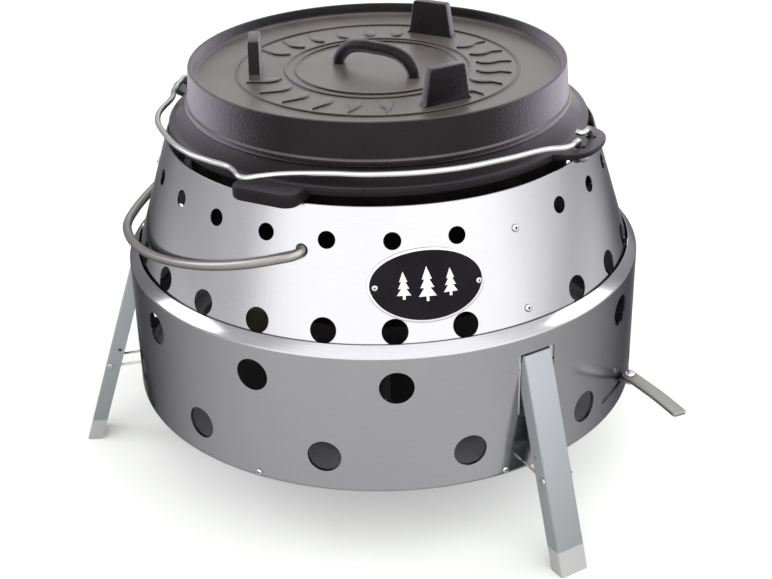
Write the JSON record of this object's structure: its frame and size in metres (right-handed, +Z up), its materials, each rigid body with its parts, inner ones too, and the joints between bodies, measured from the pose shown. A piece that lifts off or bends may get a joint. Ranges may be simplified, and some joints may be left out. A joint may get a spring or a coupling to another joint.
{
  "type": "portable charcoal grill",
  "caption": "Collapsible round steel charcoal grill on folding legs with an air ring, carrying a lidded cast iron camp oven with a wire bail.",
  "frame": {"origin": "on the ground, under the middle of the whole object's outline", "axes": "+Z up, -Y towards the side with the badge, +X towards the side with the air lever"},
  "size_m": [0.5013, 0.4729, 0.359],
  "materials": {
    "sheet_steel": "polished stainless sheet",
    "bright_wire": "bright wire and fixings",
    "iron": "seasoned casting",
    "badge": "dark satin plate"
  },
  "bodies": {
    "drum": {"lower_shell": "sheet_steel", "base_plate": "sheet_steel", "coal_grate": "sheet_steel", "base_screw_1": "bright_wire", "base_screw_2": "bright_wire", "base_screw_3": "bright_wire", "base_screw_4": "bright_wire", "base_screw_5": "bright_wire", "base_screw_6": "bright_wire", "leg_bracket_1": "sheet_steel", "leg_bracket_2": "sheet_steel", "leg_bracket_3": "sheet_steel", "leg_pin_1": "bright_wire", "leg_pin_2": "bright_wire", "leg_pin_3": "bright_wire"},
    "cone": {"upper_cone": "sheet_steel", "badge_plate": "badge", "badge_rivet_1": "bright_wire", "badge_rivet_2": "bright_wire", "grid_support_1": "sheet_steel", "grid_support_2": "sheet_steel", "grid_support_3": "sheet_steel", "support_rivet_1": "bright_wire", "support_rivet_2": "bright_wire", "support_rivet_3": "bright_wire", "support_rivet_4": "bright_wire", "support_rivet_5": "bright_wire", "support_rivet_6": "bright_wire"},
    "handle": {"carry_handle": "bright_wire"},
    "ring": {"air_ring": "sheet_steel", "lever_bolt": "bright_wire"},
    "lever": {"air_lever": "sheet_steel"},
    "pot_body": {"pot": "iron"},
    "bail_body": {"bail": "bright_wire"},
    "lid_body": {"lid": "iron"},
    "leg_body_1": {"leg_1": "sheet_steel", "stay_pin_1": "bright_wire"},
    "stay_body_1": {"leg_stay_1": "bright_wire"},
    "leg_body_2": {"leg_2": "sheet_steel", "stay_pin_2": "bright_wire"},
    "stay_body_2": {"leg_stay_2": "bright_wire"},
    "leg_body_3": {"leg_3": "sheet_steel", "stay_pin_3": "bright_wire"},
    "stay_body_3": {"leg_stay_3": "bright_wire"}
  },
  "joints": [
    {"name": "cone_slide", "type": "slide", "parent": "drum", "child": "cone", "axis": [0, 0, 1], "range_m": [-0.098, 0]},
    {"name": "handle_swing", "type": "hinge", "parent": "cone", "child": "handle", "pos_m": [-0.04848, -0.00694, 0.2536], "axis": [-0.0349, 0.9994, 0], "range_deg": [0, 45]},
    {"name": "leg_fold_1", "type": "hinge", "parent": "drum", "child": "leg_body_1", "pos_m": [0.12612, -0.18032, 0.1567], "axis": [0.8463, 0.5326, 0], "range_deg": [0, 8.2]},
    {"name": "stay_swing_1", "type": "hinge", "parent": "drum", "child": "stay_body_1", "pos_m": [0.12783, -0.18302, 0.0755], "axis": [0.8463, 0.5326, 0], "range_deg": [0, 40]},
    {"name": "leg_fold_2", "type": "hinge", "parent": "drum", "child": "leg_body_2", "pos_m": [0.11243, 0.17882, 0.1567], "axis": [-0.8845, 0.4666, 0], "range_deg": [0, 8.2]},
    {"name": "stay_swing_2", "type": "hinge", "parent": "drum", "child": "stay_body_2", "pos_m": [0.11392, 0.18165, 0.0755], "axis": [-0.8845, 0.4666, 0], "range_deg": [0, 40]},
    {"name": "leg_fold_3", "type": "hinge", "parent": "drum", "child": "leg_body_3", "pos_m": [-0.19175, -0.01261, 0.1567], "axis": [0.0381, -0.9993, 0], "range_deg": [0, 8.2]},
    {"name": "stay_swing_3", "type": "hinge", "parent": "drum", "child": "stay_body_3", "pos_m": [-0.19495, -0.01273, 0.0755], "axis": [0.0381, -0.9993, 0], "range_deg": [0, 40]},
    {"name": "ring_turn", "type": "hinge", "parent": "drum", "child": "ring", "pos_m": [0.0156, -0.0047, 0.098], "axis": [0, 0, 1], "range_deg": [-8.5, 0]},
    {"name": "lever_fold", "type": "hinge", "parent": "ring", "child": "lever", "pos_m": [0.2158, -0.09072, 0.091], "axis": [0, 0, 1], "range_deg": [-48, 0]},
    {"name": "pot_lift", "type": "slide", "parent": "drum", "child": "pot_body", "axis": [0, 0, 1], "range_m": [0, 0.14]},
    {"name": "lid_lift", "type": "slide", "parent": "pot_body", "child": "lid_body", "axis": [0, 0, 1], "range_m": [0, 0.06]},
    {"name": "bail_swing", "type": "hinge", "parent": "pot_body", "child": "bail_body", "pos_m": [0.0142, -0.0047, 0.2941], "axis": [0.8829, -0.4695, 0], "range_deg": [-88, 0]}
  ],
  "couplings": [
    {"joint": "handle_swing", "follows": "cone_slide", "rad_per_m": -8},
    {"joint": "stay_swing_1", "follows": "leg_fold_1", "ratio": 4.8},
    {"joint": "stay_swing_2", "follows": "leg_fold_2", "ratio": 4.8},
    {"joint": "stay_swing_3", "follows": "leg_fold_3", "ratio": 4.8}
  ]
}
